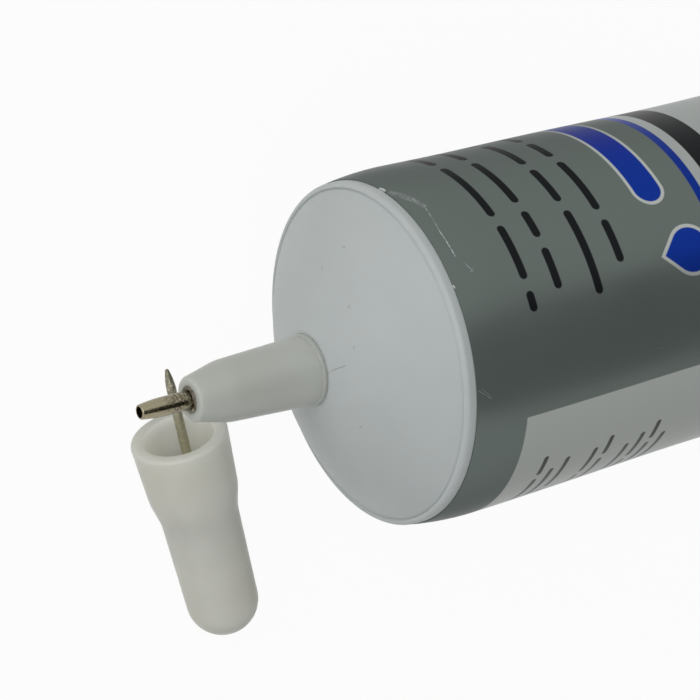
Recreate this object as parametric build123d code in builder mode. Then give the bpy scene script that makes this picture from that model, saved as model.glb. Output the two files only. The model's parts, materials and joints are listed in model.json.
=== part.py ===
from build123d import *
import os
from math import acos, atan2, cos, hypot, pi, radians, sin, sqrt

# A squeeze tube of contact adhesive that lies on its belly, with its push-on cap taken off and lying by it.
# Millimetres. +Z is up and the tail points along +X. The origin is on the belly's flat spot, on the surface
# that the tube lies on. "Ahead" is measured from the front edge of the printed film towards the nozzle.

# Filled sleeve
tube_radius = 19.0          # at the film's front edge
swell_height = 0.45         # the soft film stands out behind its curled-in front edge
curl_length = 5.5
waist_depth = 0.5           # and is drawn in again farther back
waist_place = 60.0
body_sway = 0.5             # how far the soft body hangs to one side
sway_length = 32.0
straight_length = 30.0      # round stretch behind the shoulder
body_length = 134.0         # film edge to the tail seal
tail_half_thickness = 0.55  # where the body runs into the seal
flatten_power = 2.2         # how late the round body goes flat
film_thickness = 0.4
nose_lift_deg = 4.95        # the belly carries the tube, so the nose stands up
flat_depth = 0.5            # how far the soft belly gives where it lies
front_shares = (0, 0.33, 0.67, 1.0)                                # of the round stretch behind the curl
flatten_shares = (0.12, 0.24, 0.37, 0.5, 0.63, 0.76, 0.88, 1.0)    # of the stretch that goes flat

# Welded tail seal, pressed with ribs along the tube
seal_length = 9.0
seal_half_thickness = 0.6
seal_margin = 0.3           # seal narrower than the flat body, on each side
rib_pitch = 1.5
rib_depth = 0.2

# Moulded shoulder
rim_step = 0.12             # rim below the film
rim_height = 1.25
rim_round = 0.55
groove_width = 0.3
groove_depth = 0.22
dome_height = 8.6           # nozzle's seat ahead of the film edge
dome_bulge = 0.62           # dome above a straight cone
seat_radius = 4.3
shoulder_wall = 1.5
skirt_depth = 3.0
skirt_wall = 1.3
neck_radius = 2.6
neck_length = 7.0
neck_bore_radius = 1.5
fit_gap = 0.05              # between parts pushed into one another

# Nozzle
nozzle_length = 14.8
flange_radius = 3.98
flange_thickness = 0.55
barrel_root_radius = 3.82
barrel_end_radius = 3.36
barrel_length = 10.7
tip_radius = 2.4
tip_round = 0.5
barrel_round = 6.0          # soft break between the barrel and its tip
recess_radius = 1.5         # dished mouth around the needle
recess_depth = 0.9
socket_spare = 0.3          # socket deeper than the neck
passage_radius = 1.2

# Needle
needle_radius = 1.03
needle_end_radius = 0.79
needle_bore_radius = 0.62
needle_reach = 6.0          # out of the nozzle
needle_straight = 3.4       # of that, before it is drawn in
needle_bulge = 0.05
needle_seat = 6.4
needle_edge = 0.12

# Cap, with the sizes measured from its mouth
mouth_radius = 5.52
collar_end_radius = 5.1
collar_length = 7.6
barrel_start_radius = 4.42
step_end = 10.5
step_round = 8.0            # soft edges of the step
end_radius = 4.12
end_place = 22.51           # middle of the round end
lip_round = 0.4
cap_clearance = 0.12        # around the nozzle and needle
cap_floor = 4.0             # wall at the round end

# Sealing pin in the cap
pin_radius = 0.55
pin_reach = 8.28            # out of the cap's mouth
pin_lean_deg = 1.15         # off the cap's axis
pin_point_length = 2.5
pin_point_radius = 0.2
pin_point_bulge = 0.07
pin_seat = 2.0
pin_gap = 0.02

# Where the cap lies, by the middle of its round end
cap_ahead = 10.32
cap_aside = 33.87
cap_heading_deg = 14.12     # its mouth points across the tube, turned this much towards the nozzle side

# Length by which cutting and joined shapes run past a face
overrun = 0.5

# Fineness of the search for the section's width and for the belly's lowest line
halvings = 60
belly_steps = 400
same_size = 1e-4


# Radius of the film, were it round, at a place behind its edge
def film_radius(place):
    share = min(place / waist_place, 1)
    return tube_radius + swell_height - (swell_height + waist_depth) * share**2 * (3 - 2 * share)


# Section half height
def half_height(place):
    if place <= straight_length:
        return film_radius(place)
    share = (place - straight_length) / (body_length - straight_length)
    return tail_half_thickness + (film_radius(place) - tail_half_thickness) * (1 - share**flatten_power)


# Section half width: flattening leaves the film its length around the tube
def half_width(place):
    height = half_height(place)
    around = 2 * pi * film_radius(place)
    low = film_radius(place)
    high = around / 2
    for _ in range(halvings):
        width = (low + high) / 2
        length = pi * (3 * (width + height) - sqrt((3 * width + height) * (width + 3 * height)))
        if length < around:
            low = width
        else:
            high = width
    return width


# How far the section's middle is off the tube's axis
def sway(place):
    share = min(max(place - curl_length, 0) / sway_length, 1)
    return body_sway * share**2 * (3 - 2 * share)


# How the tube lies: its lowest belly line decides the height of the film edge's middle
lift = radians(nose_lift_deg)
flat_length = body_length - straight_length
belly_places = [straight_length + flat_length * step / belly_steps for step in range(belly_steps + 1)]
belly_depths = [place * sin(lift) + half_height(place) * cos(lift) for place in belly_places]
film_edge_z = max(belly_depths) - flat_depth
rest_place = belly_places[belly_depths.index(max(belly_depths))]
film_edge_x = half_height(rest_place) * sin(lift) - rest_place * cos(lift)
film_edge = Vector(film_edge_x, -sway(rest_place), film_edge_z)
ahead = Vector(-cos(lift), 0, sin(lift))
tube_axis = Axis(film_edge, ahead)

# Half section of the turned parts: x runs ahead of the film edge, y is the radius
half_section = Plane(origin=film_edge, x_dir=ahead, z_dir=(0, 1, 0))


# Plane across the tube, behind the film edge
def across(place):
    return Plane(origin=film_edge - ahead * place + Vector(0, sway(place), 0), x_dir=(0, 1, 0), z_dir=-ahead)


# Circles of a radius in a part, for rounding its edges
def circles(part, radius):
    rounds = part.edges().filter_by(GeomType.CIRCLE)
    return rounds.filter_by(lambda edge: abs(edge.radius - radius) < same_size)


# Sizes shared by the shoulder and the filled sleeve
rim_radius = tube_radius - rim_step
face_radius = rim_radius - rim_round
skirt_radius = tube_radius - film_thickness - fit_gap
skirt_inner_radius = skirt_radius - skirt_wall
inner_height = dome_height - shoulder_wall

# Filled sleeve: the film and the adhesive in it are one solid
tail_half_width = half_width(body_length)
seal_half_width = tail_half_width - seal_margin
rib_count = int(2 * seal_half_width // rib_pitch)
rib_width = 2 * seal_half_width / rib_count
with BuildPart() as tube_body:
    stations = [curl_length + (straight_length - curl_length) * share for share in front_shares]
    stations += [straight_length + flat_length * share for share in flatten_shares]
    for place in stations:
        with BuildSketch(across(place)):
            Ellipse(half_width(place), half_height(place))
    loft()
    # Ribbed seal
    with BuildSketch(across(body_length - overrun)):
        with BuildLine():
            upper = []
            for rib in range(rib_count):
                left = rib * rib_width - seal_half_width
                upper.append((left, seal_half_thickness - rib_depth))
                upper.append((left + rib_width / 2, seal_half_thickness))
            upper.append((seal_half_width, seal_half_thickness - rib_depth))
            lower = [(x, -y) for x, y in reversed(upper)]
            Polyline(*upper, *lower, close=True)
        make_face()
    extrude(amount=seal_length + overrun)
    # Front edge, curled in
    with BuildSketch(half_section):
        with BuildLine():
            Polyline((0, tube_radius), (0, 0), (-curl_length, 0), (-curl_length, film_radius(curl_length)))
            TangentArc((-curl_length, film_radius(curl_length)), (0, tube_radius), tangent=(1, 0))
        make_face()
    revolve(axis=tube_axis)
    # Ring that the shoulder's skirt sits in
    with BuildSketch(half_section):
        with BuildLine():
            Polyline(
                (overrun, skirt_inner_radius - fit_gap),
                (-skirt_depth - fit_gap, skirt_inner_radius - fit_gap),
                (-skirt_depth - fit_gap, skirt_radius + fit_gap),
                (overrun, skirt_radius + fit_gap),
                close=True,
            )
        make_face()
    revolve(axis=tube_axis, mode=Mode.SUBTRACT)
    # Adhesive that fills the dome
    with BuildSketch(half_section):
        with BuildLine():
            Polyline(
                (inner_height - fit_gap, seat_radius - fit_gap),
                (inner_height - fit_gap, 0),
                (-skirt_depth, 0),
                (-skirt_depth, skirt_inner_radius - fit_gap),
                (0, skirt_inner_radius - fit_gap),
            )
            SagittaArc(
                (0, skirt_inner_radius - fit_gap), (inner_height - fit_gap, seat_radius - fit_gap), dome_bulge
            )
        make_face()
    revolve(axis=tube_axis)
    # Flat spot under the belly
    split(bisect_by=Plane.XY, keep=Keep.TOP)

# Shoulder: a moulded dome with a skirt in the sleeve and a neck in the nozzle
neck_end = dome_height + neck_length
with BuildPart() as shoulder:
    with BuildSketch(half_section):
        with BuildLine():
            Polyline(
                (-skirt_depth, skirt_inner_radius),
                (-skirt_depth, skirt_radius),
                (0, skirt_radius),
                (0, rim_radius),
                (rim_height - rim_round, rim_radius),
            )
            RadiusArc((rim_height - rim_round, rim_radius), (rim_height, face_radius), rim_round)
            Polyline(
                (rim_height, face_radius),
                (rim_height - groove_depth, face_radius - groove_width / 2),
                (rim_height, face_radius - groove_width),
            )
            SagittaArc((rim_height, face_radius - groove_width), (dome_height, seat_radius), dome_bulge)
            Polyline(
                (dome_height, seat_radius),
                (dome_height, neck_radius),
                (neck_end, neck_radius),
                (neck_end, neck_bore_radius),
                (inner_height, neck_bore_radius),
                (inner_height, seat_radius),
            )
            SagittaArc((inner_height, seat_radius), (0, skirt_inner_radius), -dome_bulge)
            Line((0, skirt_inner_radius), (-skirt_depth, skirt_inner_radius))
        make_face()
    revolve(axis=tube_axis)

# Nozzle: pushed on the neck, with the needle pressed in its tip
nozzle_tip = dome_height + nozzle_length
needle_start = nozzle_tip - recess_depth - needle_seat
with BuildPart() as nozzle:
    with BuildSketch(half_section):
        with BuildLine():
            Polyline(
                (dome_height, neck_radius + fit_gap),
                (dome_height, flange_radius),
                (dome_height + flange_thickness, flange_radius),
                (dome_height + flange_thickness, barrel_root_radius),
                (dome_height + barrel_length, barrel_end_radius),
                (nozzle_tip, tip_radius),
                (nozzle_tip, recess_radius),
                (nozzle_tip - recess_depth, needle_radius + pin_gap),
                (needle_start, needle_radius + pin_gap),
                (needle_start, needle_bore_radius),
                (needle_start - overrun, passage_radius),
                (neck_end + socket_spare, passage_radius),
                (neck_end + socket_spare, neck_radius + fit_gap),
                close=True,
            )
        make_face()
    revolve(axis=tube_axis)
    fillet(circles(nozzle, tip_radius), tip_round)
    fillet(circles(nozzle, barrel_end_radius), barrel_round)

# Needle: a metal tube, drawn in at its end
needle_end = nozzle_tip + needle_reach
with BuildPart() as needle:
    with BuildSketch(half_section):
        with BuildLine():
            Polyline(
                (needle_end, needle_end_radius),
                (needle_end, needle_bore_radius),
                (needle_start, needle_bore_radius),
                (needle_start, needle_radius),
                (nozzle_tip + needle_straight, needle_radius),
            )
            SagittaArc(
                (nozzle_tip + needle_straight, needle_radius), (needle_end, needle_end_radius), needle_bulge
            )
        make_face()
    revolve(axis=tube_axis)
    fillet(circles(needle, needle_end_radius), needle_edge)

# How the cap lies: on its mouth's rim and its round end
heading = radians(cap_heading_deg)
cap_tilt = acos(end_radius / hypot(mouth_radius, end_place)) - atan2(end_place, mouth_radius)
cap_end_middle = Vector(film_edge.X - cap_ahead, film_edge.Y - cap_aside, end_radius)
to_mouth = Vector(-sin(heading) * cos(cap_tilt), cos(heading) * cos(cap_tilt), sin(cap_tilt))
cap_mouth = cap_end_middle + to_mouth * end_place
cap_axis = Axis(cap_mouth, -to_mouth)
cap_side = Vector(cos(heading), sin(heading), 0)

# Half section of the cap: x runs into it from its mouth, y is the radius
cap_section = Plane(origin=cap_mouth, x_dir=-to_mouth, z_dir=cap_side)

# Half section of the pin: x runs out of the cap from its floor, y is the radius
cap_depth = end_place + end_radius - cap_floor
pin_lean = radians(pin_lean_deg)
pin_foot = cap_mouth - to_mouth * cap_depth
pin_course = to_mouth * cos(pin_lean) + cap_side * sin(pin_lean)
pin_axis = Axis(pin_foot, pin_course)
pin_section = Plane(origin=pin_foot, x_dir=pin_course, z_dir=to_mouth.cross(cap_side))
pin_length = cap_depth + pin_reach

# Cap: follows the nozzle and the needle inside
hollow_mouth_radius = barrel_root_radius + cap_clearance
hollow_tip_radius = tip_radius + cap_clearance
hollow_needle_radius = needle_radius + cap_clearance
hollow_step_radius = barrel_end_radius + cap_clearance
with BuildPart() as cap:
    with BuildSketch(cap_section):
        with BuildLine():
            Polyline(
                (end_place + end_radius, 0),
                (cap_depth, 0),
                (cap_depth, hollow_needle_radius),
                (nozzle_length + cap_clearance, hollow_tip_radius),
                (barrel_length, hollow_step_radius),
                (flange_thickness, hollow_mouth_radius),
                (0, flange_radius + cap_clearance),
                (0, mouth_radius),
                (collar_length, collar_end_radius),
                (step_end, barrel_start_radius),
                (end_place, end_radius),
            )
            RadiusArc((end_place, end_radius), (end_place + end_radius, 0), end_radius)
        make_face()
    revolve(axis=cap_axis)
    fillet(circles(cap, mouth_radius), lip_round)
    fillet(circles(cap, flange_radius + cap_clearance), lip_round)
    fillet(circles(cap, collar_end_radius), step_round)
    fillet(circles(cap, barrel_start_radius), step_round)
    # Seat of the pin
    with BuildSketch(pin_section):
        with BuildLine():
            Polyline(
                (-pin_seat, 0),
                (-pin_seat, pin_radius + pin_gap),
                (overrun, pin_radius + pin_gap),
                (overrun, 0),
                close=True,
            )
        make_face()
    revolve(axis=pin_axis, mode=Mode.SUBTRACT)

# Sealing pin: a wire with a bullet point, fixed in the cap's round end
with BuildPart() as cap_pin:
    with BuildSketch(pin_section):
        with BuildLine():
            Polyline(
                (pin_length, pin_point_radius),
                (pin_length, 0),
                (-pin_seat, 0),
                (-pin_seat, pin_radius),
                (pin_length - pin_point_length, pin_radius),
            )
            SagittaArc(
                (pin_length - pin_point_length, pin_radius), (pin_length, pin_point_radius), pin_point_bulge
            )
        make_face()
    revolve(axis=pin_axis)

os.makedirs("parts", exist_ok=True)
pieces = {
    "tube_body": tube_body,
    "shoulder": shoulder,
    "nozzle": nozzle,
    "needle": needle,
    "cap": cap,
    "cap_pin": cap_pin,
}
for piece_name, piece in pieces.items():
    piece.part.label = piece_name
    export_step(piece.part, f"parts/{piece_name}.step")
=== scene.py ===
import json
from math import cos, pi, radians, sin, sqrt

import bmesh
import bpy
import numpy as np
from bpy.props import FloatProperty, FloatVectorProperty, IntProperty, PointerProperty
from mathutils import Matrix, Vector


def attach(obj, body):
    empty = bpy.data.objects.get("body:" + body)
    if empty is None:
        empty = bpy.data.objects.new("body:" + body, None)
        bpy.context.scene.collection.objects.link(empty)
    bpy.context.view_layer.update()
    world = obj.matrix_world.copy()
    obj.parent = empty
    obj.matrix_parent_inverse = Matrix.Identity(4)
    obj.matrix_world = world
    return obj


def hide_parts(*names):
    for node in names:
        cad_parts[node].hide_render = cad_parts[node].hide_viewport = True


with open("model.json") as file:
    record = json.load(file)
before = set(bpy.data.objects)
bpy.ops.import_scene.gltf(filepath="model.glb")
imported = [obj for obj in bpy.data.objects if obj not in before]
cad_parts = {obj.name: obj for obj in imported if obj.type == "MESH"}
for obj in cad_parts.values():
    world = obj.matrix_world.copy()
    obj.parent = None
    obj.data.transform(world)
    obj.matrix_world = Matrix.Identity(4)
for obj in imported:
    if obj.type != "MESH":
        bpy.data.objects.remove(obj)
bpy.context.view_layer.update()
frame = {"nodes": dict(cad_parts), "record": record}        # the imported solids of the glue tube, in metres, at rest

bl_info = {
    "name": "Glue tube",
    "version": (1, 0, 0),
    "blender": (4, 5, 0),
    "location": "View3D > Sidebar > Glue tube",
    "description": "Gives the solids of a glue tube their printed film, plastics, metals and dried glue",
    "category": "Object",
}

BODY = "root"
MM = 0.001

# The tube's own frame: x runs ahead out of the nozzle, z is up across the tube, and the film edge is at zero
OUTLET = {mount["name"]: mount for mount in frame["record"]["mounts"]}["outlet_bore"]
NEEDLE_MIDDLE = 22.75 * MM
NOZZLE_TIP = 23.4 * MM
NEEDLE_END = 29.4 * MM
AHEAD = Vector(OUTLET["axis"]).normalized()
SIDE = Vector((0, -1, 0))
FILM_EDGE = Vector(OUTLET["pos_m"]) - AHEAD * NEEDLE_MIDDLE
TUBE_FRAME = Matrix.Translation(FILM_EDGE) @ Matrix((AHEAD, SIDE, AHEAD.cross(SIDE))).transposed().to_4x4()

# The cap's hollow: middle of its mouth, the way in, and where its wall and its depth end; they bound the painted
# light in the hollow
CAP_MOUTH = Vector((-74.502, -12.581, 5.51)) * MM
CAP_COURSE = Vector((0.2435, -0.968, -0.0618)).normalized()
HOLLOW_WALL = (4.3 * MM, 4.0 * MM)
HOLLOW_DEPTH = (19 * MM, 15 * MM)


def linear(code):
    """Turns an sRGB hex colour into linear red, green and blue."""
    shares = [int(code[place:place + 2], 16) / 255 for place in (1, 3, 5)]
    return [share / 12.92 if share <= 0.04045 else ((share + 0.055) / 1.055) ** 2.4 for share in shares]


def size(name, description, millimetres):
    """A length that a user can change."""
    return FloatProperty(name=name, description=description, default=millimetres * MM, unit="LENGTH")


def colour(name, description, code):
    """A colour that a user can change."""
    return FloatVectorProperty(name=name, description=description, default=linear(code), subtype="COLOR")


class FilmSizes(bpy.types.PropertyGroup):
    """Sizes of the filled sleeve"""

    tube_radius: size("Tube radius", "Outside of the film at its front edge", 19.0)
    curl_length: size("Curl length", "Film that curls in to its front edge", 5.5)
    swell_height: size("Swell", "How far the film stands out behind the curl", 0.45)
    waist_depth: size("Waist depth", "How far the film is drawn in farther back", 0.5)
    waist_place: size("Waist place", "Where it is drawn in, behind the film edge", 60.0)
    body_sway: size("Sway", "How far the soft body hangs to one side", 0.5)
    sway_length: size("Sway length", "Stretch in which it gets there", 32.0)
    straight_length: size("Round stretch", "Round film behind the shoulder", 30.0)
    body_length: size("Body length", "Film edge to the tail seal", 134.0)
    tail_half_thickness: size("Tail half thickness", "Where the body runs into the seal", 0.55)
    flatten_power: FloatProperty(
        name="Flattening", description="How late the round body goes flat", default=2.2
    )
    seal_length: size("Seal length", "Welded tail", 9.0)
    seal_half_thickness: size("Seal half thickness", "At the top of a rib", 0.6)
    seal_margin: size("Seal margin", "Seal narrower than the flat body", 0.3)
    rib_depth: size("Rib depth", "Pressed into the seal", 0.2)
    film_thickness: size("Film thickness", "Seen at the film edge", 0.4)
    skirt_depth: size("Skirt depth", "How far the shoulder goes into the film", 3.05)
    notch_depth: size("Notch depth", "Film cut back at the seam's end", 0.1)
    dent_size: size("Dent size", "Width of the film's soft dents", 26.0)
    dent_height: size("Dent height", "Depth of the film's soft dents", 0.18)
    rib_count: IntProperty(name="Ribs", description="Ribs across the seal", default=38)
    columns_per_rib: IntProperty(name="Columns", description="Mesh columns across each rib", default=4)
    seam_columns: IntProperty(
        name="Seam place", description="Columns from the top line to the seam", default=71
    )
    notch_columns: IntProperty(
        name="Notch", description="Columns of the notch on each side of the seam", default=2
    )


class PrintColours(bpy.types.PropertyGroup):
    """Inks on the film"""

    grey: colour("Grey ink", "Ground behind the shoulder", "#6D7672")
    pale: colour("Pale ink", "Ground of the middle", "#B9BFBD")
    white: colour("White ink", "Back panel and outlines", "#BEC3BF")
    blue: colour("Blue ink", "Thin ring, bar and drop", "#15379A")
    black: colour("Black ink", "Wide ring and rows", "#1E2022")
    small: colour("Small rows", "Rows on the back panel", "#4A4D4C")
    # This white is also used for painted highlights on the film: a sheen on a fold, a bright line along the curl and
    # a glint at the film edge
    bare_and_highlight: colour("Bare film", "White layer under the print", "#D4D9D8")


class PlasticColours(bpy.types.PropertyGroup):
    """Colours of the moulded pieces"""

    shoulder: colour("Shoulder", "Cool white polyethylene", "#C5CBCB")
    nozzle: colour("Nozzle", "Natural polypropylene", "#C5C9C3")
    cap: colour("Cap", "Natural polypropylene", "#DADBD3")
    # Painted light: the hollow is painted lighter than the cap's outside
    cap_inside_painted_light: colour("Cap inside", "Clean hollow of the cap", "#F8F7EA")


class MetalColours(bpy.types.PropertyGroup):
    """Colours of the metal pieces and the dried glue"""

    needle: colour("Needle", "Dull nickel plate", "#968F78")
    pin: colour("Pin", "Drawn wire", "#C6C1A9")
    glue: colour("Dried glue", "Brown skin at the needle", "#7D745F")
    crumbs: colour("Glue crumbs", "Pale crumbs in the dried glue", "#B7AC97")


class StageSettings(bpy.types.PropertyGroup):
    """Floor, lights and camera"""

    floor_colour: colour("Floor", "Pale floor", "#F0F0EC")
    floor_size: FloatProperty(
        name="Floor size", description="Side of the floor", default=8.0, unit="LENGTH"
    )
    floor_white: FloatProperty(
        name="Floor white", description="Share of plain white where the floor is seen", default=0.95,
        subtype="FACTOR",
    )
    world_level: FloatProperty(
        name="World level", description="Even light from all sides", default=0.36
    )
    key_power: FloatProperty(
        name="Key power", description="Soft box beside the nozzle", default=0.98, unit="POWER"
    )
    top_power: FloatProperty(
        name="Top power", description="Soft box above", default=1.9, unit="POWER"
    )
    flag_colour: colour("Flag", "Dark card", "#3A352B")
    flag_size: FloatProperty(
        name="Flag size", description="Side of the dark card", default=0.45, unit="LENGTH"
    )
    flag_distance: FloatProperty(
        name="Flag distance", description="Dark card from the film edge", default=0.45, unit="LENGTH"
    )
    camera_distance: FloatProperty(
        name="Camera distance", description="From the point looked at", default=0.393645, unit="LENGTH"
    )
    camera_azimuth: FloatProperty(
        name="Azimuth", description="Round the part", default=radians(-128.937), unit="ROTATION"
    )
    camera_elevation: FloatProperty(
        name="Elevation", description="Above the horizon", default=radians(55.064), unit="ROTATION"
    )
    camera_roll: FloatProperty(
        name="Roll", description="About the view", default=radians(122.711), unit="ROTATION"
    )
    lens: FloatProperty(
        name="Lens", description="Focal length in mm", default=188.96, unit="CAMERA"
    )
    aim_ahead: size("Aim ahead", "Point looked at, from the film edge along X", 3.0062)
    aim_aside: size("Aim aside", "Point looked at, from the film edge along Y", 0.8861)


def fill(tree, node, inputs):
    """Links or sets a node's inputs, by name or number."""
    for key, value in inputs.items():
        if isinstance(value, bpy.types.NodeSocket):
            tree.links.new(value, node.inputs[key])
        else:
            node.inputs[key].default_value = value


def add(tree, kind, inputs=None, **settings):
    """Adds a node with its settings, and links or sets its inputs."""
    node = tree.nodes.new(kind)
    for name, value in settings.items():
        setattr(node, name, value)
    fill(tree, node, inputs or {})
    return node


def new_material(name):
    """A material with an empty surface shader, and its node tree."""
    material = bpy.data.materials.new(name)
    material.use_nodes = True
    tree = material.node_tree
    tree.nodes.clear()
    surface = add(tree, "ShaderNodeBsdfPrincipled")
    add(tree, "ShaderNodeOutputMaterial", {"Surface": surface.outputs[0]})
    return material, tree, surface


def dress(piece, material):
    """The piece shows one material."""
    piece.data.materials.clear()
    piece.data.materials.append(material)


def rgba(values, share=1.0):
    """A colour, or a darker share of it, as a socket takes it."""
    return (*[share * value for value in values], 1)


def overlaid(tree, ground, layers):
    """Colour of a ground with other colours over it, each where its mask is 1."""
    paint = ground
    for mask, cover in layers:
        mixed = add(tree, "ShaderNodeMix", {0: mask, 6: paint, 7: cover}, data_type="RGBA")
        paint = mixed.outputs[2]
    return paint


def streak(tree, place, first, last, half_width, strength):
    """Mask of a straight mark between two places, with soft sides."""
    run = last - first
    offset = add(tree, "ShaderNodeVectorMath", {0: place, 1: first}, operation="SUBTRACT")
    course = run / run.length_squared
    along = add(tree, "ShaderNodeVectorMath", {0: offset.outputs[0], 1: course}, operation="DOT_PRODUCT")
    held = add(tree, "ShaderNodeClamp", {0: along.outputs["Value"]})
    foot = add(tree, "ShaderNodeVectorMath", {0: run, "Scale": held.outputs[0]}, operation="SCALE")
    gap = add(tree, "ShaderNodeVectorMath", {0: offset.outputs[0], 1: foot.outputs[0]}, operation="DISTANCE")
    return add(
        tree, "ShaderNodeMapRange",
        {0: gap.outputs["Value"], 1: 1.5 * half_width, 2: 0.5 * half_width, 3: 0, 4: strength},
    ).outputs[0]


# Film print, in mm behind the film edge and in degrees from the top line towards -Y

EDGE_BLUR = 0.06        # over which an inked edge fades
CORNER = 0.1            # rounding of a field that looks square
OUTLINE = 0.4           # white border of a blue shape
PALE_GROUND = (34.4, 128.0)
BLUE_RING = (33.75, 34.85)
BLACK_RING = (36.35, 39.85)
PANEL = (6.3, 40.5)
PANEL_TURN = (8, 172)
ROW_BLOCKS = ((10.4, 3), (17.6, 2), (22.4, 4))       # first row and number of rows of each block
ROW_STEP = 1.7
ROW_START = 27          # degrees at which the small rows start, and by which some start later
ROW_INDENT = 4
SMALL_BARS = 5          # in each small row, and their shortest length and its steps
SMALL_BAR = 3.2
SMALL_BAR_STEP = 1.7
FRONT_ROWS = (          # place, start, and lengths of the bars
    (8.4, -25, (2.2, 6.4, 9.6, 5.2, 7.4)),
    (12.2, -30, (4.6, 3.4, 8.2, 6.2, 9.0)),
    (17.1, -25, (9.8, 5.4, 7.6, 8.4)),
    (20.9, -33, (5.0, 7.8, 4.2, 9.4, 4.4)),
)
LONG_BAR = ((-87, 28.2), (37, 1.7))                  # middle and half size
DROP = ((-31, 30.2), 2.5)                            # middle and radius
BARE_NOTCH = (-85, (0.5, 0.22), 0.2)                 # turn, half size and rounding
VARNISH_TINT = "#808080"                             # dulls the gloss

# Painted sheen on a fold behind the film edge, a painted highlight where the film starts to curl in, a painted glint
# at the film edge, and a few scratches: both ends, half width and strength
SCRATCHES_AND_HIGHLIGHTS = (
    # Painted sheen on a fold behind the film edge
    ((-81.4, 0.4), (-74.3, 1.5), 0.34, 0.2),
    ((-74.3, 1.5), (-69.9, 2.0), 0.26, 0.2),
    # Painted highlight: a bright line where the film starts to curl in
    ((-69.9, 2.0), (-58.1, 1.56), 0.04, 0.55),
    ((-58.1, 1.56), (-48.4, 1.63), 0.05, 0.85),
    # Scratches
    ((-45.8, 2.16), (-42.1, 2.79), 0.04, 0.4),
    ((-43.3, 3.1), (-42.0, 2.5), 0.04, 0.35),
    # Painted glint at the film edge
    ((-39.3, 0.02), (-38.4, 0.08), 0.06, 1.0),
    # Scratches
    ((-5.0, 0.2), (-1.4, 1.7), 0.04, 0.4),
    ((-5.4, 0.6), (-2.5, 1.5), 0.04, 0.35),
)
# Breaks up the painted highlights as well as the scratches
SCRATCH_BREAKS = 0.4    # between the gaps in a scratch

# Patterns of the film, in metres
RUB_LENGTH = 9 * MM
RUB_WIDTH = 0.25 * MM   # wider than the real rub marks, so that they show
RUB_TURN = radians(24)
SMUDGE = 14 * MM        # a fingertip
FILM_SKIN = 5 * MM      # width and height of the varnish's soft waves
FILM_WAVE = 0.1 * MM


def printed_field(tree, place, middle, half, rounding):
    """Distance in mm from a rounded field on the film, below zero inside it."""
    offset = add(tree, "ShaderNodeVectorMath", {0: place, 1: (*middle, 0)}, operation="SUBTRACT")
    folded = add(tree, "ShaderNodeVectorMath", {0: offset.outputs[0]}, operation="ABSOLUTE")
    inner = (half[0] - rounding, half[1] - rounding, 0)
    beyond = add(tree, "ShaderNodeVectorMath", {0: folded.outputs[0], 1: inner}, operation="SUBTRACT")
    outside = add(tree, "ShaderNodeVectorMath", {0: beyond.outputs[0], 1: (0, 0, 0)}, operation="MAXIMUM")
    length = add(tree, "ShaderNodeVectorMath", {0: outside.outputs[0]}, operation="LENGTH")
    return add(
        tree, "ShaderNodeMath", {0: length.outputs["Value"], 1: rounding}, operation="SUBTRACT"
    ).outputs[0]


def printed_ring(tree, place, around, first, last):
    """Distance in mm from a ring of ink round the tube."""
    return printed_field(tree, place, (0, (first + last) / 2), (around, (last - first) / 2), CORNER)


def printed_drop(tree, place, middle, radius):
    """Distance in mm from a drop on the film: a disc with one square corner, which points to the nozzle."""
    turned = add(
        tree, "ShaderNodeMapping",
        {0: place, "Location": (*middle, 0), "Rotation": (0, 0, radians(-135))}, vector_type="TEXTURE",
    )
    spot = add(tree, "ShaderNodeSeparateXYZ", {0: turned.outputs[0]})
    disc = add(tree, "ShaderNodeVectorMath", {0: turned.outputs[0]}, operation="LENGTH")
    square = add(tree, "ShaderNodeMath", {0: spot.outputs[0], 1: spot.outputs[1]}, operation="MAXIMUM")
    least = add(tree, "ShaderNodeMath", {0: spot.outputs[0], 1: spot.outputs[1]}, operation="MINIMUM")
    corner = add(tree, "ShaderNodeMath", {0: least.outputs[0], 1: 0}, operation="GREATER_THAN")
    reach = add(
        tree, "ShaderNodeMix", {0: corner.outputs[0], 2: disc.outputs["Value"], 3: square.outputs[0]}
    )
    return add(tree, "ShaderNodeMath", {0: reach.outputs[0], 1: radius}, operation="SUBTRACT").outputs[0]


def inked(tree, distance, grow=0.0):
    """Mask that is 1 inside a field, or inside it and a border of that many mm."""
    return add(
        tree, "ShaderNodeMapRange",
        {0: distance, 1: grow + EDGE_BLUR, 2: grow - EDGE_BLUR, 3: 0, 4: 1}, clamp=True,
    ).outputs[0]


def either(tree, distances):
    """Distance from the nearest of several fields."""
    nearest = distances[0]
    for distance in distances[1:]:
        nearest = add(tree, "ShaderNodeMath", {0: nearest, 1: distance}, operation="MINIMUM").outputs[0]
    return nearest


def bar_rows(tree, place, rows, gap, thickness):
    """Rows of plain bars round the tube. A row is its place behind the film edge, its start and its bars."""
    bars = []
    for behind, first, lengths in rows:
        around = first
        direction = 1 if first > 0 else -1
        for length in lengths:
            middle = (around + direction * length / 2, behind)
            bars.append(printed_field(tree, place, middle, (length / 2, thickness / 2), thickness / 2))
            around += direction * (length + gap)
    return either(tree, bars)


def place_on_film(tree, film, around):
    """Place on the flat film in mm: x from the top line towards -Y, y behind the film edge."""
    pitch = around / (2 * film.rib_count * film.columns_per_rib)
    length = (film.body_length + film.seal_length) / MM
    flat = add(tree, "ShaderNodeUVMap", uv_map="Print")
    spread = add(
        tree, "ShaderNodeVectorMath",
        {0: flat.outputs[0], 1: (around, length, 0), 2: (-film.seam_columns * pitch, 0, 0)},
        operation="MULTIPLY_ADD",
    )
    parts = add(tree, "ShaderNodeSeparateXYZ", {0: spread.outputs[0]})
    turned = add(
        tree, "ShaderNodeMath", {0: parts.outputs[0], 1: around / 2, 2: -around / 2}, operation="WRAP"
    )
    return add(tree, "ShaderNodeCombineXYZ", {0: turned.outputs[0], 1: parts.outputs[1]}).outputs[0]


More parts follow.
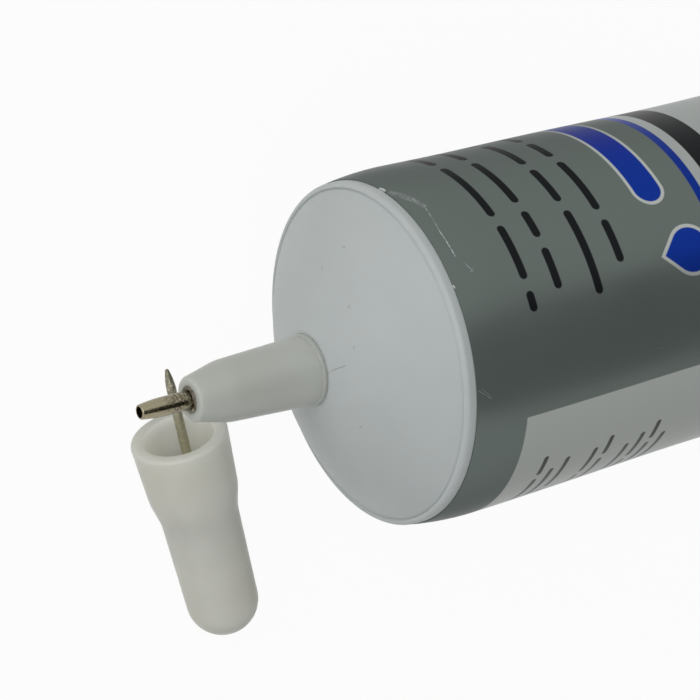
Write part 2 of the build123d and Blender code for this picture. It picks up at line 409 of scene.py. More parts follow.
def panel_rows(tree, place, degree):
    """Distance in mm from the small rows on the back panel."""
    rows = []
    for block, (first, count) in enumerate(ROW_BLOCKS):
        for row in range(count):
            steps = [(3 * row + 2 * bar + block) % 4 for bar in range(SMALL_BARS)]
            lengths = [SMALL_BAR + SMALL_BAR_STEP * step for step in steps]
            turn = ROW_START + ROW_INDENT * ((2 * row + block) % 3)
            rows.append((first + ROW_STEP * row, turn * degree, lengths))
    return bar_rows(tree, place, rows, gap=0.8, thickness=0.6)


def worn_and_highlight_layers(tree, place, thing, degree, inks):
    """Bare white at the notch and in scratches, painted highlights in white on a fold, along the curl and at the film
    edge, and faint rub marks aslant the tube.
    """
    turn, half, rounding = BARE_NOTCH
    notch = printed_field(tree, place, (turn * degree, 0), half, rounding)
    layers = [(inked(tree, notch), rgba(inks.bare_and_highlight))]
    beads = add(tree, "ShaderNodeTexNoise", {"Vector": place, "Scale": 1 / SCRATCH_BREAKS, "Detail": 1})
    broken = add(tree, "ShaderNodeMapRange", {0: beads.outputs[0], 1: 0.4, 2: 0.56, 3: 0.25, 4: 1})
    # Painted highlights on a fold, along the curl and at the film edge, and scratches, all in the white of the
    # unprinted film
    for first, last, half, strength in SCRATCHES_AND_HIGHLIGHTS:
        ends = [Vector((turn * degree, back, 0)) for turn, back in (first, last)]
        mark = streak(tree, place, *ends, half, strength)
        shown = add(tree, "ShaderNodeMath", {0: mark, 1: broken.outputs[0]}, operation="MULTIPLY")
        layers.append((shown.outputs[0], rgba(inks.bare_and_highlight)))
    closeness = (1 / RUB_LENGTH, 1 / RUB_WIDTH, 1 / RUB_WIDTH)
    stretched = add(
        tree, "ShaderNodeMapping", {0: thing, "Rotation": (0, 0, RUB_TURN), "Scale": closeness}
    )
    streaks = add(tree, "ShaderNodeTexNoise", {"Vector": stretched.outputs[0], "Scale": 1, "Detail": 1})
    rubbed = add(tree, "ShaderNodeMapRange", {0: streaks.outputs[0], 1: 0.8, 2: 0.86, 3: 0, 4: 0.3})
    return layers + [(rubbed.outputs[0], rgba(inks.white))]


def film_material(film, inks):
    """Printed silver laminate: varnished inks, which mirror softly where no opaque ink covers the silver."""
    material, tree, surface = new_material("printed_laminate")
    around = 2 * pi * film.tube_radius / MM
    degree = around / 360
    place = place_on_film(tree, film, around)
    thing = add(tree, "ShaderNodeTexCoord").outputs["Object"]

    # Grounds and rings, and the white back panel, which runs on over the rings into the pale ground
    pale_ground = printed_ring(tree, place, around, *PALE_GROUND)
    blue_ring = printed_ring(tree, place, around, *BLUE_RING)
    black_ring = printed_ring(tree, place, around, *BLACK_RING)
    middle = (sum(PANEL_TURN) / 2 * degree, sum(PANEL) / 2)
    half = ((PANEL_TURN[1] - PANEL_TURN[0]) / 2 * degree, (PANEL[1] - PANEL[0]) / 2)
    panel = printed_field(tree, place, middle, half, CORNER)

    # Rows of plain bars, a long bar and a drop on the front
    rows = [(behind, turn * degree, lengths) for behind, turn, lengths in FRONT_ROWS]
    front_rows = bar_rows(tree, place, rows, gap=1.3, thickness=1.0)
    (turn, behind), (half_turn, half) = LONG_BAR
    bar = printed_field(tree, place, (turn * degree, behind), (half_turn * degree, half), half)
    (turn, behind), radius = DROP
    drop = printed_drop(tree, place, (turn * degree, behind), radius)
    layers = [
        (inked(tree, pale_ground), rgba(inks.pale)),
        (inked(tree, blue_ring), rgba(inks.blue)),
        (inked(tree, black_ring), rgba(inks.black)),
        (inked(tree, panel), rgba(inks.white)),
        (inked(tree, panel_rows(tree, place, degree)), rgba(inks.small)),
        (inked(tree, front_rows), rgba(inks.black)),
    ]
    for shape in (bar, drop):
        layers.append((inked(tree, shape, OUTLINE), rgba(inks.white)))
        layers.append((inked(tree, shape), rgba(inks.blue)))
    layers += worn_and_highlight_layers(tree, place, thing, degree, inks)

    # Handling leaves faint cloudy smudges, and the skin is softly uneven
    smudge = add(tree, "ShaderNodeTexNoise", {"Vector": thing, "Scale": 1 / SMUDGE, "Detail": 4})
    gloss = add(tree, "ShaderNodeMapRange", {0: smudge.outputs[0], 1: 0.3, 2: 0.7, 3: 0.28, 4: 0.36})
    skin = add(tree, "ShaderNodeTexNoise", {"Vector": thing, "Scale": 1 / FILM_SKIN, "Detail": 2})
    bump = add(tree, "ShaderNodeBump", {"Height": skin.outputs[0], "Strength": 0.2, "Distance": FILM_WAVE})
    opaque = inked(tree, either(tree, [pale_ground, blue_ring, black_ring, panel]))
    silver = add(tree, "ShaderNodeMapRange", {0: opaque, 1: 0, 2: 1, 3: 0.42, 4: 0})
    fill(tree, surface, {
        "Base Color": overlaid(tree, rgba(inks.grey), layers),
        "Roughness": gloss.outputs[0],
        "Normal": bump.outputs[0],
        "Metallic": silver.outputs[0],
        "Specular IOR Level": 0.06,
        "Specular Tint": rgba(linear(VARNISH_TINT)),
    })
    return material


# Moulded plastics

TONE_CLOUD = 9 * MM      # slow changes of tone
MOULD_GRAIN = 0.05 * MM  # height of the skin's grain


def moulded_plastic(name, base, warmth, grain, see_through, depth, roughness, marks=None):
    """Moulded polyolefin: light goes a little way in, the skin is satin and slightly uneven in tone."""
    material, tree, surface = new_material(name)
    thing = add(tree, "ShaderNodeTexCoord").outputs["Object"]
    cloud = add(tree, "ShaderNodeTexNoise", {"Vector": thing, "Scale": 1 / TONE_CLOUD, "Detail": 3})
    shade = add(tree, "ShaderNodeMapRange", {0: cloud.outputs[0], 1: 0.3, 2: 0.7, 3: 0, 4: 1})
    layers = [(shade.outputs[0], rgba([c * w for c, w in zip(base, warmth)]))]
    if marks:
        layers += marks(tree, thing)

    # The skin's grain is finer on the real mouldings, and is drawn as coarse as it needs to show
    skin = add(tree, "ShaderNodeTexNoise", {"Vector": thing, "Scale": 1 / (grain * MM), "Detail": 3})
    bump = add(tree, "ShaderNodeBump", {"Height": skin.outputs[0], "Strength": 0.1, "Distance": MOULD_GRAIN})
    gloss = add(
        tree, "ShaderNodeMapRange",
        {0: skin.outputs[0], 1: 0.3, 2: 0.7, 3: roughness - 0.05, 4: roughness + 0.05},
    )
    fill(tree, surface, {
        "Base Color": overlaid(tree, rgba(base), layers),
        "Roughness": gloss.outputs[0],
        "Normal": bump.outputs[0],
        "Subsurface Weight": see_through,
        "Subsurface Radius": (1.0, 0.97, 0.91),
        "Subsurface Scale": depth * MM,
        "IOR": 1.5,
    })
    return material


# Dust and a curved hair on the dome, in mm in the tube's own frame: both ends, half width and strength
DUST = (
    ((4.46, -13.22, 0.9), (4.44, -13.3, 1.1), 0.13, 0.3),
    ((5.89, -10.61, -1.03), (5.9, -10.5, -0.95), 0.12, 0.3),
    ((6.43, -8.21, 4.88), (6.45, -8.1, 4.95), 0.11, 0.3),
    ((7.13, -4.36, 6.77), (7.12, -4.2, 6.7), 0.1, 0.3),
    ((6.83, 4.55, 7.44), (6.85, 4.6, 7.3), 0.13, 0.3),
    ((8.6, -0.87, 3.95), (8.26, -1.58, 4.99), 0.06, 0.5),
    ((8.26, -1.58, 4.99), (7.81, -2.14, 6.04), 0.06, 0.5),
)
DUST_SHADE = 0.3


def dust_layers(tree, thing, base):
    """Dark specks and a hair on the shoulder."""
    layers = []
    for first, last, half, strength in DUST:
        ends = [TUBE_FRAME @ (Vector(end) * MM) for end in (first, last)]
        layers.append((streak(tree, thing, *ends, half * MM, strength), rgba(base, DUST_SHADE)))
    return layers


def hollow_painted_light(tree, thing, inside):
    """Painted light: the cap's hollow is painted a shade lighter than its outside."""
    offset = add(tree, "ShaderNodeVectorMath", {0: thing, 1: CAP_MOUTH}, operation="SUBTRACT")
    deep, across = [
        add(tree, "ShaderNodeVectorMath", {0: offset.outputs[0], 1: CAP_COURSE}, operation=product)
        for product in ("DOT_PRODUCT", "CROSS_PRODUCT")
    ]
    radius = add(tree, "ShaderNodeVectorMath", {0: across.outputs[0]}, operation="LENGTH")
    within = [
        add(tree, "ShaderNodeMapRange", {0: measure.outputs["Value"], 1: ends[0], 2: ends[1], 3: 0, 4: 1})
        for measure, ends in ((radius, HOLLOW_WALL), (deep, HOLLOW_DEPTH))
    ]
    both = add(
        tree, "ShaderNodeMath", {0: within[0].outputs[0], 1: within[1].outputs[0]}, operation="MULTIPLY"
    )
    return [(both.outputs[0], rgba(inside))]


# Metals and dried glue

PIT_SHADE = 0.25
PIT_DEPTH = 0.05 * MM
# Darkness of the painted shade in the glue's hollows
GLUE_SHADE = 0.35
GLUE_CLOUD = 0.5 * MM    # width and height of the lumps in the glue's skin
GLUE_LUMP = 0.15 * MM


def plated_metal(name, base, grain, pits, course, worn, polish):
    """Dull plated or drawn metal: a granular skin with dark pits, which fade between two places along it."""
    material, tree, surface = new_material(name)
    thing = add(tree, "ShaderNodeTexCoord").outputs["Object"]
    grains = add(tree, "ShaderNodeTexNoise", {"Vector": thing, "Scale": 1 / (grain * MM), "Detail": 4})
    offset = add(tree, "ShaderNodeVectorMath", {0: thing, 1: FILM_EDGE}, operation="SUBTRACT")
    reach = add(tree, "ShaderNodeVectorMath", {0: offset.outputs[0], 1: course}, operation="DOT_PRODUCT")
    rough_share = add(
        tree, "ShaderNodeMapRange",
        {0: reach.outputs["Value"], 1: worn[0] * MM, 2: worn[1] * MM, 3: 1, 4: 0.1},
    ).outputs[0]
    dip = add(tree, "ShaderNodeMapRange", {0: grains.outputs[0], 1: pits + 0.1, 2: pits - 0.1, 3: 0, 4: 0.8})
    pit = add(tree, "ShaderNodeMath", {0: dip.outputs[0], 1: rough_share}, operation="MULTIPLY")
    gloss = add(
        tree, "ShaderNodeMapRange", {0: grains.outputs[0], 1: 0.3, 2: 0.7, 3: polish + 0.14, 4: polish}
    )
    bump = add(
        tree, "ShaderNodeBump",
        {"Height": grains.outputs[0], "Strength": rough_share, "Distance": PIT_DEPTH},
    )
    fill(tree, surface, {
        "Base Color": overlaid(tree, rgba(base), [(pit.outputs[0], rgba(base, PIT_SHADE))]),
        "Roughness": gloss.outputs[0],
        "Normal": bump.outputs[0],
        "Metallic": 1,
    })
    return material


def glue_material(colours):
    """Dried contact adhesive: a brown, glossy skin with pale crumbs, and painted shade where its lumpy skin is low.
    """
    material, tree, surface = new_material("dried_adhesive")
    thing = add(tree, "ShaderNodeTexCoord").outputs["Object"]
    cloud = add(tree, "ShaderNodeTexNoise", {"Vector": thing, "Scale": 1 / GLUE_CLOUD, "Detail": 4})
    # Painted shade: the skin darkens where its bumps are low
    shade = add(tree, "ShaderNodeMapRange", {0: cloud.outputs[0], 1: 0.35, 2: 0.65, 3: 0, 4: 1})
    crumb = add(tree, "ShaderNodeMapRange", {0: cloud.outputs[0], 1: 0.6, 2: 0.66, 3: 0, 4: 0.8})
    bump = add(tree, "ShaderNodeBump", {"Height": cloud.outputs[0], "Strength": 0.8, "Distance": GLUE_LUMP})
    layers = [(shade.outputs[0], rgba(colours.glue)), (crumb.outputs[0], rgba(colours.crumbs))]
    fill(tree, surface, {
        "Base Color": overlaid(tree, rgba(colours.glue, GLUE_SHADE), layers),
        "Normal": bump.outputs[0],
        "Roughness": 0.35,
    })
    return material


# Modelling helpers

def start(name):
    """The primitive just added, named and alone in the selection."""
    piece = bpy.context.active_object
    piece.name = name
    piece.data.name = name
    return piece


def leave_edit_mode():
    """No piece is in edit mode."""
    if bpy.context.mode != "OBJECT":
        bpy.ops.object.mode_set(mode="OBJECT")


def clear_selection():
    """Nothing is selected, and no piece is in edit mode."""
    leave_edit_mode()
    bpy.ops.object.select_all(action="DESELECT")


def pick(piece, test):
    """In edit mode, selects the vertices whose place passes a test."""
    bpy.ops.object.mode_set(mode="EDIT")
    bpy.ops.mesh.select_mode(type="VERT")
    bpy.ops.mesh.select_all(action="DESELECT")
    shape = bmesh.from_edit_mesh(piece.data)
    for vertex in shape.verts:
        vertex.select_set(test(vertex.co))
    shape.select_flush_mode()
    bmesh.update_edit_mesh(piece.data)


def put_in_place(piece, place):
    """Moves a piece from the tube's own frame to its place, and leaves its object at the origin."""
    leave_edit_mode()
    piece.matrix_world = place
    bpy.ops.object.transform_apply(location=True, rotation=True, scale=True)


def finish_piece(piece, material, smooth_angle):
    """Smooths, dresses and hangs a piece on the part."""
    leave_edit_mode()
    bpy.ops.object.shade_smooth_by_angle(angle=smooth_angle)
    dress(piece, material)
    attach(piece, BODY)
    clear_selection()


# Filled sleeve

HALVINGS = 60            # of the bounds between which a section's half width lies
ARC_STEPS = 4000         # in which a section's length is measured
DENTS_START = 8 * MM     # over which the dents set in behind the curl
DENTS_END = 30 * MM      # over which they die out before the seal
DENT_MIDDLE = 0.8        # most of a dent goes inwards
HAIR = 0.01 * MM         # allowed when points are picked by their place
WELD = 0.001 * MM        # within which points are one
CURL_ROWS = 8            # of the mesh, along the curl, the round stretch, the taper and the seal
ROUND_ROWS = 12
TAPER_ROWS = 61
SEAL_ROWS = 6
RIBS_START = 0.5 * MM    # behind the body's end
FILM_CREASE = radians(38)     # a steeper edge stays sharp


def eased(share):
    """Share that starts and ends gently."""
    held = min(max(share, 0), 1)
    return held ** 2 * (3 - 2 * held)


def film_radius(film, place):
    """Radius of the film while it is round: it curls in at its edge, swells behind it and has a waist."""
    spare = film.swell_height + film.waist_depth
    drawn_in = spare * eased(max(place, film.curl_length) / film.waist_place)
    full = film.tube_radius + film.swell_height - drawn_in
    curl = max(0, 1 - place / film.curl_length)
    return full - (full - film.tube_radius) * curl ** 2


def sway(film, place):
    """How far the middle of the section lies to one side."""
    return film.body_sway * eased((place - film.curl_length) / film.sway_length)


def half_height(film, place):
    """Half the height of the film's section at a place behind its edge."""
    share = max(0, min((place - film.straight_length) / (film.body_length - film.straight_length), 1))
    spare = film_radius(film, place) - film.tail_half_thickness
    return film.tail_half_thickness + spare * (1 - share ** film.flatten_power)


def half_width(film, place):
    """Half the width of the section: flattening leaves the film's length around the tube as it is."""
    height = half_height(film, place)
    low = film_radius(film, place)
    around = 2 * pi * low
    high = around / 2
    for _ in range(HALVINGS):
        width = (low + high) / 2
        length = pi * (3 * (width + height) - sqrt((3 * width + height) * (width + 3 * height)))
        low, high = (width, high) if length < around else (low, width)
    return width


def round_ring(width, height, shares):
    """Side and up of points on an ellipse, at shares of the way round from its top."""
    turn = np.linspace(0, 2 * pi, ARC_STEPS)
    side = width * np.sin(turn)
    up = height * np.cos(turn)
    run = np.concatenate(([0], np.cumsum(np.hypot(np.diff(side), np.diff(up)))))
    angle = np.interp(np.mod(shares, 1) * run[-1], run, turn)
    return width * np.sin(angle), height * np.cos(angle)


def seal_ring(film, width, shares):
    """Side and up of points round the flat seal: ribs on both faces and folds at both sides."""
    quarter = np.mod(shares + 0.25, 1) * 2
    upper = quarter < 1
    across = np.where(upper, quarter, 2 - quarter)
    wave = 1 - np.abs(np.mod(across * film.rib_count, 1) * 2 - 1)
    thick = film.seal_half_thickness - film.rib_depth * (1 - wave)
    folded = np.isclose(np.abs(across - 0.5), 0.5)
    up = np.where(folded, 0, np.where(upper, thick, -thick))
    return width * (across * 2 - 1), up


def film_rows(film):
    """Places behind the film edge where the mesh has a ring: close where the film bends."""
    curl = [film.curl_length * step / CURL_ROWS for step in range(CURL_ROWS + 1)]
    straight = list(np.linspace(film.curl_length, film.straight_length, ROUND_ROWS + 1))[1:]
    tapering = list(np.linspace(film.straight_length, film.body_length, TAPER_ROWS + 1))[1:]
    ribs = [film.body_length + film.seal_length * step / SEAL_ROWS for step in range(1, SEAL_ROWS + 1)]
    return curl + straight + tapering + [film.body_length + RIBS_START] + ribs


def roll_film(film):
    """A flat sheet, rolled so that each row lies on its section, welded and notched at the side seam."""
    columns = 2 * film.rib_count * film.columns_per_rib
    places = film_rows(film)
    rows = len(places) - 1
    bpy.ops.mesh.primitive_grid_add(x_subdivisions=columns, y_subdivisions=rows, size=1)
    piece = start("printed_film")
    mesh = piece.data
    if len(mesh.vertices) != (columns + 1) * (rows + 1):
        raise RuntimeError("the flat sheet has other rows or columns than the film needs")
    mesh.uv_layers[0].name = "Print"
    total = film.body_length + film.seal_length
    column = np.arange(columns + 1)
    shares = (column - film.seam_columns) / columns
    notch = film.notch_depth * (np.minimum(column, columns - column) < film.notch_columns)
    rolled = {}
    for row, place in enumerate(places):
        if place > film.body_length:
            width = half_width(film, film.body_length) - film.seal_margin
            side, up = seal_ring(film, width, shares)
        else:
            side, up = round_ring(half_width(film, place), half_height(film, place), shares)
        back = place + notch * (row == 0)
        rolled[row] = (-back, side - sway(film, place), up)
    flat_place = {}
    for vertex in mesh.vertices:
        at = round((vertex.co.x + 0.5) * columns)
        row = round((vertex.co.y + 0.5) * rows)
        ahead, side, up = rolled[row]
        vertex.co = (ahead[at], side[at], up[at])
        flat_place[vertex.index] = (at / columns, places[row] / total)
    for loop in mesh.loops:
        mesh.uv_layers[0].data[loop.index].uv = flat_place[loop.vertex_index]
    bpy.ops.object.mode_set(mode="EDIT")
    bpy.ops.mesh.select_all(action="SELECT")
    bpy.ops.mesh.remove_doubles(threshold=WELD)
    bpy.ops.object.mode_set(mode="OBJECT")
    return piece


def dent_film(piece, film):
    """Soft dents of a filled tube, which leave the film edge and the seal as they are."""
    weights = piece.vertex_groups.new(name="dents")
    for vertex in piece.data.vertices:
        behind = -vertex.co.x
        start_share = min(1, max(0, (behind - film.curl_length) / DENTS_START))
        end_share = min(1, max(0, (film.body_length - behind) / DENTS_END))
        weights.add([vertex.index], start_share * end_share, "REPLACE")
    clouds = bpy.data.textures.new("film dents", "CLOUDS")
    clouds.noise_scale = film.dent_size
    clouds.noise_basis = "IMPROVED_PERLIN"
    clouds.noise_depth = 1
    dents = piece.modifiers.new("dents", "DISPLACE")
    dents.texture = clouds
    dents.texture_coords = "LOCAL"
    dents.vertex_group = weights.name
    dents.mid_level = DENT_MIDDLE
    dents.strength = film.dent_height
    bpy.ops.object.modifier_apply(modifier=dents.name)
    piece.vertex_groups.clear()


class GLUETUBE_OT_printed_film(bpy.types.Operator):
    """Rolls, seals and prints the filled sleeve"""

    bl_idname = "glue_tube.printed_film"
    bl_label = "Printed film"

    def execute(self, context):
        film = context.scene.glue_tube_film
        clear_selection()
        piece = roll_film(film)
        dent_film(piece, film)

        # Tail end
        tail = -(film.body_length + film.seal_length)
        pick(piece, lambda place: place.x < tail + HAIR)
        bpy.ops.mesh.edge_face_add()

        # Film edge, turned in to the shoulder's skirt and closed behind it
        front = -(film.notch_depth + HAIR)
        pick(piece, lambda place: place.x > front)
        inner = (film.tube_radius - film.film_thickness) / film.tube_radius
        bpy.ops.mesh.extrude_region_move()
        bpy.ops.transform.resize(value=(1, inner, inner), center_override=(0, 0, 0))
        bpy.ops.mesh.extrude_region_move(TRANSFORM_OT_translate={"value": (-film.skirt_depth, 0, 0)})
        bpy.ops.mesh.edge_face_add()
        bpy.ops.mesh.select_all(action="SELECT")
        bpy.ops.mesh.normals_make_consistent(inside=False)
        put_in_place(piece, TUBE_FRAME)

        # Flat spot where the soft belly lies
        pick(piece, lambda place: place.z < 0)
        bpy.ops.transform.resize(value=(1, 1, 0), center_override=(0, 0, 0))
        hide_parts("tube_body")
        material = film_material(film, context.scene.glue_tube_inks)
        finish_piece(piece, material, FILM_CREASE)
        return {"FINISHED"}


class GLUETUBE_OT_shoulder(bpy.types.Operator):
    """Gives the moulded shoulder its cool white plastic"""

    bl_idname = "glue_tube.shoulder"
    bl_label = "Shoulder"

    def execute(self, context):
        base = context.scene.glue_tube_plastics.shoulder

        # Moulded polyethylene: a cool, nearly opaque white with a dull satin skin
        material = moulded_plastic(
            "white_polyethylene", base, (0.95, 0.955, 0.955), grain=0.7, see_through=0.2, depth=1.6,
            roughness=0.5, marks=lambda tree, thing: dust_layers(tree, thing, base),
        )
        dress(frame["nodes"]["shoulder"], material)
        return {"FINISHED"}


class GLUETUBE_OT_nozzle(bpy.types.Operator):
    """Gives the nozzle its natural, slightly see-through plastic"""

    bl_idname = "glue_tube.nozzle"
    bl_label = "Nozzle"

    def execute(self, context):
        # Undyed moulded polypropylene: warmer, a little glossier, and light goes farther in
        material = moulded_plastic(
            "natural_polypropylene", context.scene.glue_tube_plastics.nozzle, (0.95, 0.94, 0.91), grain=0.6,
            see_through=0.6, depth=2.5, roughness=0.42,
        )
        dress(frame["nodes"]["nozzle"], material)
        return {"FINISHED"}


class GLUETUBE_OT_cap(bpy.types.Operator):
    """Gives the cap its natural, slightly see-through plastic"""

    bl_idname = "glue_tube.cap"
    bl_label = "Cap"

    def execute(self, context):
        plastics = context.scene.glue_tube_plastics

        # Undyed moulded polypropylene in a thin wall: milky, with soft shadows in its steps, and painted light in its
        # hollow
        material = moulded_plastic(
            "satin_polypropylene", plastics.cap, (0.97, 0.96, 0.93), grain=0.8, see_through=1.0, depth=4.0,
            roughness=0.45, marks=lambda tree, thing: hollow_painted_light(tree, thing, plastics.cap_inside_painted_light),
        )
        dress(frame["nodes"]["cap"], material)
        return {"FINISHED"}


class GLUETUBE_OT_metal(bpy.types.Operator):
    """Gives the needle and the sealing pin their dull metal"""

    bl_idname = "glue_tube.metal"
    bl_label = "Needle and pin"

    def execute(self, context):
        colours = context.scene.glue_tube_metals

        # Nickel plate on a drawn tube: granular at its root, and polished towards its end
        plate = plated_metal(
            "nickel_plate", colours.needle, grain=0.28, pits=0.52,
            course=AHEAD, worn=(25.6, 27.2), polish=0.18,
        )

        # Drawn steel wire: satin, and stained towards its point
        wire = plated_metal(
            "drawn_wire", colours.pin, grain=0.5, pits=0.62, course=SIDE, worn=(6.5, 14.0), polish=0.38
        )
        dress(frame["nodes"]["needle"], plate)
        dress(frame["nodes"]["cap_pin"], wire)
        return {"FINISHED"}


COLLAR_RADIUS = 1.26 * MM
COLLAR_HALF_THICKNESS = 0.27 * MM
COLLAR_SUNK = 0.14 * MM        # behind the nozzle's tip
CRUMB_SIZE = 0.4 * MM
CRUMB_HEIGHT = 0.42 * MM
PLUG_RADIUS = 0.615 * MM
PLUG_SUNK = 1.5 * MM           # behind the needle's end
PLUG_STEPS = ((0.8, 0.16 * MM), (0.55, 0.12 * MM), (0.3, 0.06 * MM))   # share of the last radius, and drop
GLUE_CREASE = radians(60)


class GLUETUBE_OT_dried_glue(bpy.types.Operator):
    """Leaves dried glue round the needle's root and in its bore"""

    bl_idname = "glue_tube.dried_glue"
    bl_label = "Dried glue"

    def execute(self, context):
        material = glue_material(context.scene.glue_tube_metals)

        # Ragged collar in the dished mouth
        clear_selection()
        bpy.ops.mesh.primitive_torus_add(
            major_segments=72, minor_segments=20, major_radius=COLLAR_RADIUS,
            minor_radius=COLLAR_HALF_THICKNESS, rotation=(0, pi / 2, 0),
        )
        collar = start("glue_collar")
        bpy.ops.object.transform_apply(location=False, rotation=True, scale=False)
        clouds = bpy.data.textures.new("glue crumbs", "CLOUDS")
        clouds.noise_scale = CRUMB_SIZE
        crumbs = collar.modifiers.new("crumbs", "DISPLACE")
        crumbs.texture = clouds
        crumbs.texture_coords = "LOCAL"
        crumbs.strength = CRUMB_HEIGHT
        bpy.ops.object.modifier_apply(modifier=crumbs.name)
        put_in_place(collar, TUBE_FRAME @ Matrix.Translation((NOZZLE_TIP - COLLAR_SUNK, 0, 0)))
        finish_piece(collar, material, GLUE_CREASE)

        # Skin of glue that sank into the bore
        bpy.ops.mesh.primitive_circle_add(
            vertices=40, radius=PLUG_RADIUS, fill_type="NGON", rotation=(0, pi / 2, 0)
        )
        plug = start("glue_plug")
        bpy.ops.object.transform_apply(location=False, rotation=True, scale=False)
        bpy.ops.object.mode_set(mode="EDIT")
        bpy.ops.mesh.select_all(action="SELECT")
        for share, sink in PLUG_STEPS:
            bpy.ops.mesh.extrude_region_move(TRANSFORM_OT_translate={"value": (-sink, 0, 0)})
            bpy.ops.transform.resize(value=(1, share, share), center_override=(0, 0, 0))
        put_in_place(plug, TUBE_FRAME @ Matrix.Translation((NEEDLE_END - PLUG_SUNK, 0, 0)))
        finish_piece(plug, material, GLUE_CREASE)
        return {"FINISHED"}


# Stage, from the film edge: each soft box's name, direction, distance and side, and its power's setting
LAMPS = (
    ("key", (-0.82, 0.52, 0.24), 0.75, 0.5, "key_power"),
    ("top", (-0.5, 0.42, 0.76), 0.9, 0.4, "top_power"),
)
FLAG_DIRECTION = Vector((0.48, 0, 0.87))
WHITE = (1, 1, 1, 1)
FILM_GATE = 36           # width of the camera's picture, in mm
NEAREST = 0.01           # distance at which the camera starts to see


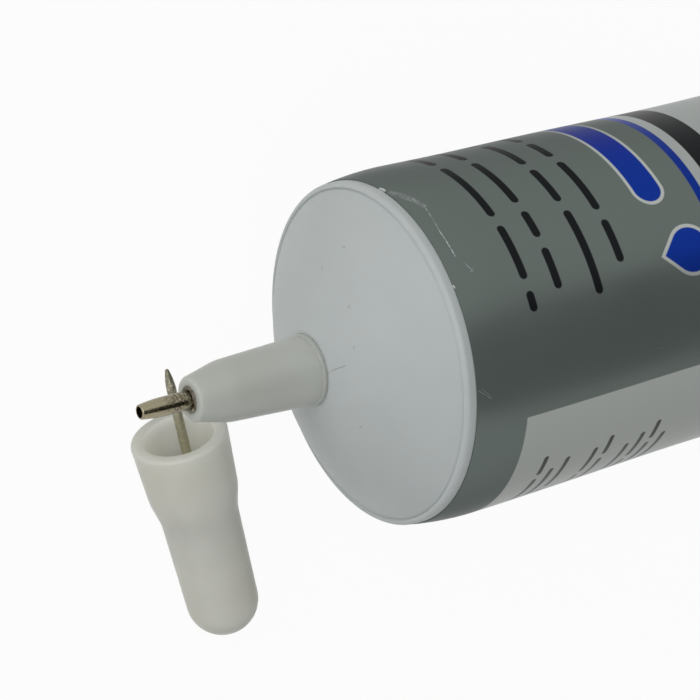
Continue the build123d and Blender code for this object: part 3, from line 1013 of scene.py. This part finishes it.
class GLUETUBE_OT_stage(bpy.types.Operator):
    """Sets the pale floor, the soft studio light and the camera"""

    bl_idname = "glue_tube.stage"
    bl_label = "Stage"

    def execute(self, context):
        stage = context.scene.glue_tube_stage
        self.make_floor(stage)
        self.make_world(context, stage)
        self.make_lights(context, stage)
        self.make_flag(stage)
        self.make_camera(context, stage)
        context.scene.view_settings.view_transform = "Standard"
        return {"FINISHED"}

    def seen(self, tree):
        """1 for rays that show the background: from the camera, or by way of gloss or glass."""
        path = add(tree, "ShaderNodeLightPath")
        shown = path.outputs["Is Camera Ray"]
        for ray in ("Is Glossy Ray", "Is Transmission Ray"):
            either_ray = add(tree, "ShaderNodeMath", {0: shown, 1: path.outputs[ray]}, operation="MAXIMUM")
            shown = either_ray.outputs[0]
        return shown

    def make_floor(self, stage):
        """A matt painted floor: pale, seen as white, with a faint soft shadow."""
        clear_selection()
        bpy.ops.mesh.primitive_plane_add(size=stage.floor_size)
        floor = start("floor")
        material, tree, surface = new_material("pale_floor")
        fill(tree, surface, {
            "Base Color": rgba(stage.floor_colour),
            "Roughness": 0.9,
            "Specular IOR Level": 0,
        })
        white = add(tree, "ShaderNodeEmission", {"Color": WHITE, "Strength": 1})
        share = add(
            tree, "ShaderNodeMath", {0: self.seen(tree), 1: stage.floor_white}, operation="MULTIPLY"
        )
        mixed = add(
            tree, "ShaderNodeMixShader", {0: share.outputs[0], 1: surface.outputs[0], 2: white.outputs[0]}
        )
        output = next(node for node in tree.nodes if node.bl_idname == "ShaderNodeOutputMaterial")
        fill(tree, output, {"Surface": mixed.outputs[0]})
        dress(floor, material)
        clear_selection()

    def make_world(self, context, stage):
        """Even light, and white where the background shows."""
        world = bpy.data.worlds.new("studio")
        world.use_nodes = True
        tree = world.node_tree
        tree.nodes.clear()
        even, white = [
            add(tree, "ShaderNodeBackground", {"Color": WHITE, "Strength": strength}).outputs[0]
            for strength in (stage.world_level, 1)
        ]
        mixed = add(tree, "ShaderNodeMixShader", {0: self.seen(tree), 1: even, 2: white})
        add(tree, "ShaderNodeOutputWorld", {"Surface": mixed.outputs[0]})
        context.scene.world = world

    def make_lights(self, context, stage):
        """A soft box beside the nozzle and one above."""
        for name, towards, distance, side, power in LAMPS:
            light = bpy.data.lights.new(name, "AREA")
            light.shape = "SQUARE"
            light.size = side
            light.energy = getattr(stage, power)
            lamp = bpy.data.objects.new(name, light)
            context.scene.collection.objects.link(lamp)
            direction = Vector(towards).normalized()
            lamp.location = FILM_EDGE + direction * distance
            lamp.rotation_mode = "QUATERNION"
            lamp.rotation_quaternion = direction.to_track_quat("Z", "Y")

    def make_flag(self, stage):
        """A matt dark card above the tail, seen in gloss only, gives metal and film their dark side."""
        clear_selection()
        bpy.ops.mesh.primitive_plane_add(size=stage.flag_size)
        flag = start("flag")
        flag.location = FILM_EDGE + FLAG_DIRECTION * stage.flag_distance
        flag.rotation_mode = "QUATERNION"
        flag.rotation_quaternion = FLAG_DIRECTION.to_track_quat("Z", "Y")
        flag.visible_camera = False
        flag.visible_diffuse = False
        flag.visible_shadow = False
        material, tree, surface = new_material("dark_card")
        fill(tree, surface, {"Base Color": rgba(stage.flag_colour), "Specular IOR Level": 0})
        dress(flag, material)
        clear_selection()

    def make_camera(self, context, stage):
        """The camera looks steeply down on the nozzle's side, turned about its view."""
        camera = bpy.data.objects.new("camera", bpy.data.cameras.new("camera"))
        context.scene.collection.objects.link(camera)
        camera.data.lens = stage.lens
        camera.data.sensor_width = FILM_GATE
        camera.data.clip_start = NEAREST
        turn, rise = stage.camera_azimuth, stage.camera_elevation
        back = Vector((sin(turn) * cos(rise), -cos(turn) * cos(rise), sin(rise)))
        aim = FILM_EDGE + Vector((-stage.aim_ahead, stage.aim_aside, 0))
        level = (-back).to_track_quat("-Z", "Y").to_matrix()
        place = level @ Matrix.Rotation(stage.camera_roll, 3, "Z")
        camera.matrix_world = Matrix.Translation(aim + back * stage.camera_distance) @ place.to_4x4()
        context.scene.camera = camera


PIECES = (
    GLUETUBE_OT_printed_film,
    GLUETUBE_OT_shoulder,
    GLUETUBE_OT_nozzle,
    GLUETUBE_OT_cap,
    GLUETUBE_OT_metal,
    GLUETUBE_OT_dried_glue,
    GLUETUBE_OT_stage,
)
SETTINGS = {
    "glue_tube_film": FilmSizes,
    "glue_tube_inks": PrintColours,
    "glue_tube_plastics": PlasticColours,
    "glue_tube_metals": MetalColours,
    "glue_tube_stage": StageSettings,
}


class GLUETUBE_PT_sidebar(bpy.types.Panel):
    """Lists the pieces of the glue tube and their settings"""

    bl_label = "Glue tube"
    bl_idname = "GLUETUBE_PT_sidebar"
    bl_space_type = "VIEW_3D"
    bl_region_type = "UI"
    bl_category = "Glue tube"

    def draw(self, context):
        for operator in PIECES:
            self.layout.operator(operator.bl_idname)
        for name, group in SETTINGS.items():
            box = self.layout.box()
            for setting in group.__annotations__:
                box.prop(getattr(context.scene, name), setting)


def register():
    for group in SETTINGS.values():
        bpy.utils.register_class(group)
    for name, group in SETTINGS.items():
        setattr(bpy.types.Scene, name, PointerProperty(type=group))
    for shown in (*PIECES, GLUETUBE_PT_sidebar):
        bpy.utils.register_class(shown)


def unregister():
    for shown in reversed((*PIECES, GLUETUBE_PT_sidebar)):
        bpy.utils.unregister_class(shown)
    for name, group in SETTINGS.items():
        delattr(bpy.types.Scene, name)
        bpy.utils.unregister_class(group)


def main():
    register()
    bpy.ops.glue_tube.printed_film()
    bpy.ops.glue_tube.shoulder()
    bpy.ops.glue_tube.nozzle()
    bpy.ops.glue_tube.cap()
    bpy.ops.glue_tube.metal()
    bpy.ops.glue_tube.dried_glue()
    bpy.ops.glue_tube.stage()


if __name__ == "__main__":
    main()
